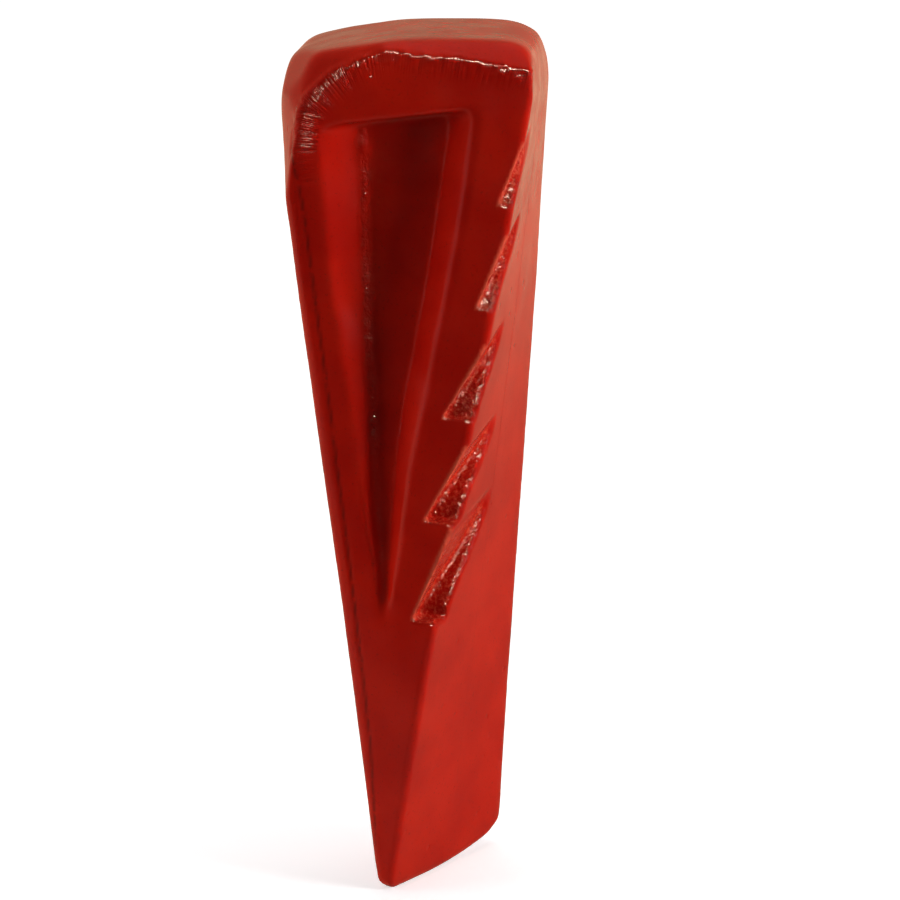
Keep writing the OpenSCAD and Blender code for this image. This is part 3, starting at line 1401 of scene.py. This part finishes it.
@dataclass(frozen=True)
class PaleFloor:
    """A plain white floor that keeps a faint shadow, and shows warm in the paint's gloss.

    Its lift towards white grows from the wedge outwards, and so does its warm reflection.
    """

    name: str = "pale_floor"
    colour: Colour = (0.86, 0.86, 0.86, 1)
    lift: float = 0.55
    lift_reach: Fade = Fade(0.1, 1.0)
    reflected: Colour = (0.46, 0.33, 0.21, 1)
    reflected_reach: Fade = Fade(0.2, 0.9)
    reflected_near: float = 0.9
    reflected_far: float = 1.7

    def make(self) -> bpy.types.Material:
        """Make the floor's material.

        Returns:
            The material.
        """
        material = bpy.data.materials.new(self.name)
        graph = Graph(material)
        lit = graph.add("BsdfDiffuse", {"Color": self.colour})
        path = graph.add("LightPath").outputs
        place = graph.add("TexCoord").outputs["Object"]
        away = graph.add("VectorMath", {0: place}, operation="LENGTH").outputs["Value"]
        reach = self.lift_reach
        lift = graph.band(away, reach.start, reach.whole, self.lift, 1.0)
        lift = graph.math("MULTIPLY", looked_at(graph, path), lift)
        glow = graph.add("Emission", {"Strength": lift})
        both = graph.add("AddShader", {0: lit.outputs[0], 1: glow.outputs[0]})
        reach = self.reflected_reach
        shown = graph.band(
            away, reach.start, reach.whole, self.reflected_near, self.reflected_far
        )
        warm = graph.add("Emission", {"Color": self.reflected, "Strength": shown})
        shaders = {0: path["Is Glossy Ray"], 1: both.outputs[0], 2: warm.outputs[0]}
        surface = graph.add("MixShader", shaders)
        graph.add("OutputMaterial", {"Surface": surface.outputs[0]})
        return material


# ------------------------------------------------------------------ the studio


@dataclass(frozen=True)
class Softbox:
    """One soft lamp: where it hangs, what it faces, how wide, how strong and how far it spreads.

    A mirrored lamp only shows in the gloss of the paint.
    """

    name: str
    place: Row
    size: float
    power: float
    aim_z: float = 0.11
    spread: float = 180.0
    colour: Row = (1, 1, 1)
    mirrored: bool = False

    def hang(self) -> None:
        """Hang the lamp, facing its height over the wedge's edge."""
        lamp = bpy.data.lights.new(self.name, "AREA")
        lamp.shape = "SQUARE"
        lamp.size = self.size
        lamp.energy = self.power
        lamp.color = self.colour
        lamp.spread = math.radians(self.spread)
        piece = bpy.data.objects.new(self.name, lamp)
        piece.location = self.place
        aim = Vector((0, 0, self.aim_z)) - piece.location
        piece.rotation_euler = aim.to_track_quat("-Z", "Y").to_euler()
        piece.visible_glossy = self.mirrored
        piece.visible_diffuse = not self.mirrored
        bpy.context.scene.collection.objects.link(piece)


@dataclass
class Studio:
    """The floor, the lamps, the surroundings and the camera. Angles are in degrees."""

    target: Vector
    lamps: tuple[Softbox, ...] = (
        Softbox("key_lamp", (0.57, -0.21, 0.27), 0.20, 0.67, aim_z=0.15, spread=80),
        Softbox("top_lamp", (0.05, 0.25, 1.10), 0.60, 5.0),
        Softbox("left_lamp", (-0.90, -0.14, 0.30), 0.50, 4.2),
        Softbox(
            "glint_lamp", (0.16, -0.72, 0.62), 0.14, 20, colour=(1, 0.79, 0.60), mirrored=True
        ),
    )
    # What the surroundings give off, and what the gloss shows of them in front and behind
    surroundings: float = 0.06
    front_room: float = 0.04
    back_room: float = 0.46
    room_change: Fade = Fade(-0.3, 0.5)
    above: float = 0.7
    reflected: Colour = (1, 0.74, 0.46, 1)
    white: Colour = (1, 1, 1, 1)
    floor_size: float = 12
    floor_front: float = 0.15
    distance: float = 0.9565
    azimuth: float = 5.4
    elevation: float = 14.0
    roll: float = 1.92
    lens: float = 149.5
    shift: tuple[float, float] = (0.0274, 0.0079)

    def lay_floor(self) -> None:
        """Lay the floor under the wedge's edge."""
        middle = (0, self.floor_size / 2 - self.floor_front, 0)
        bpy.ops.object.select_all(action="DESELECT")
        bpy.ops.mesh.primitive_plane_add(size=self.floor_size, location=middle)
        floor = bpy.context.object
        bpy.ops.object.transform_apply(location=True, rotation=True, scale=True)
        floor.name = "studio_floor"
        floor.data.materials.append(PaleFloor().make())

    def surround(self) -> None:
        """Make the surroundings white to look at, and a soft light to lie in."""
        world = bpy.data.worlds.new("studio")
        bpy.context.scene.world = world
        graph = Graph(world)
        path = graph.add("LightPath").outputs
        way = graph.add("SeparateXYZ", {0: graph.add("TexCoord").outputs["Generated"]}).outputs
        back = graph.math("ADD", way["Y"], graph.math("MULTIPLY", way["Z"], self.above))
        change = self.room_change
        room = graph.band(back, change.start, change.whole, self.front_room, self.back_room)
        shown = graph.math("MAXIMUM", path["Is Camera Ray"], room)
        strengths = {0: looked_at(graph, path), 2: self.surroundings, 3: shown}
        strength = graph.add("Mix", strengths).outputs[0]
        colour = graph.mix(path["Is Glossy Ray"], self.white, self.reflected)
        light = graph.add("Background", {"Color": colour, "Strength": strength})
        graph.add("OutputWorld", {"Surface": light.outputs[0]})

    def place_camera(self) -> None:
        """Place the camera: in front, a little to the right and above."""
        turn, rise = math.radians(self.azimuth), math.radians(self.elevation)
        level = Vector((math.sin(turn), -math.cos(turn), 0))
        away = level * math.cos(rise) + Vector((0, 0, math.sin(rise)))
        data = bpy.data.cameras.new("camera")
        data.lens = self.lens
        data.shift_x, data.shift_y = self.shift
        camera = bpy.data.objects.new("camera", data)
        roll = Matrix.Rotation(-math.radians(self.roll), 3, "Z")
        aim = (-away).to_track_quat("-Z", "Y").to_matrix() @ roll
        place = self.target + away * self.distance
        camera.matrix_world = Matrix.Translation(place) @ aim.to_4x4()
        bpy.context.scene.collection.objects.link(camera)
        bpy.context.scene.camera = camera

    def set_up(self) -> None:
        """Set the studio up round the wedge."""
        self.lay_floor()
        self.surround()
        for lamp in self.lamps:
            lamp.hang()
        self.place_camera()
        bpy.context.scene.view_settings.view_transform = "Standard"


def corners(box: tuple[Vector, Vector]) -> list[list[float]]:
    """A box's two corners as plain lists."""
    return [[float(value) for value in corner] for corner in box]


def main() -> None:
    """Build the wedge and its studio."""
    logging.basicConfig(level=logging.INFO, format="%(name)s: %(message)s")
    low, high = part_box("wedge_body")
    bar = TaperedBar(height=round(high.z - low.z, 6))
    wedge = TwistedWedge(bar, Crown(), Pocket(), Barbs(), ForgedSkin()).build()
    wedge.data.materials.clear()
    wedge.data.materials.append(RedPaint().make())
    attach(wedge, "root")
    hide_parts("wedge_body")
    log.info("%s: %d faces", wedge.name, len(wedge.data.polygons))
    Studio(target=Vector((0, 0, (low.z + high.z) / 2))).set_up()


if __name__ == "__main__":
    main()
